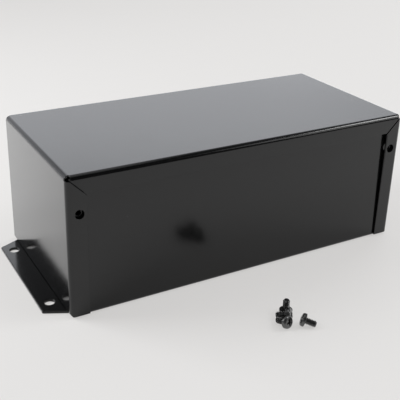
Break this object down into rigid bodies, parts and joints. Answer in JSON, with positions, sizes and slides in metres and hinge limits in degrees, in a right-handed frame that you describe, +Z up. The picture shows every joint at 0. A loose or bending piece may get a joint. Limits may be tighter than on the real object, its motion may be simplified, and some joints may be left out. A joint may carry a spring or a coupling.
{
  "type": "aluminium enclosure",
  "caption": "Black painted folded-aluminium electronics enclosure: flanged lift-off cover over a channel-shaped base with mounting flanges, its cover screws lying loose in front.",
  "frame": {"origin": "middle of the base's underside, on the surface that the enclosure stands on or is bolted to, at the centre of the mounting holes", "axes": "+X along the front from left to right, +Y from the front panel to the back panel, +Z up, the way the cover lifts off"},
  "size_m": [0.2248, 0.1558, 0.0762],
  "materials": {
    "black_paint": "semi-gloss black baked enamel on aluminium sheet",
    "black_oxide": "satin black oxide on steel"
  },
  "bodies": {
    "base_body": {"base": "black_paint", "cover_screws": "black_oxide"},
    "cover_body": {"cover": "black_paint"}
  },
  "joints": [
    {"name": "cover_lift", "type": "slide", "parent": "base_body", "child": "cover_body", "axis": [0, 0, 1], "range_m": [0, 0.085]}
  ]
}
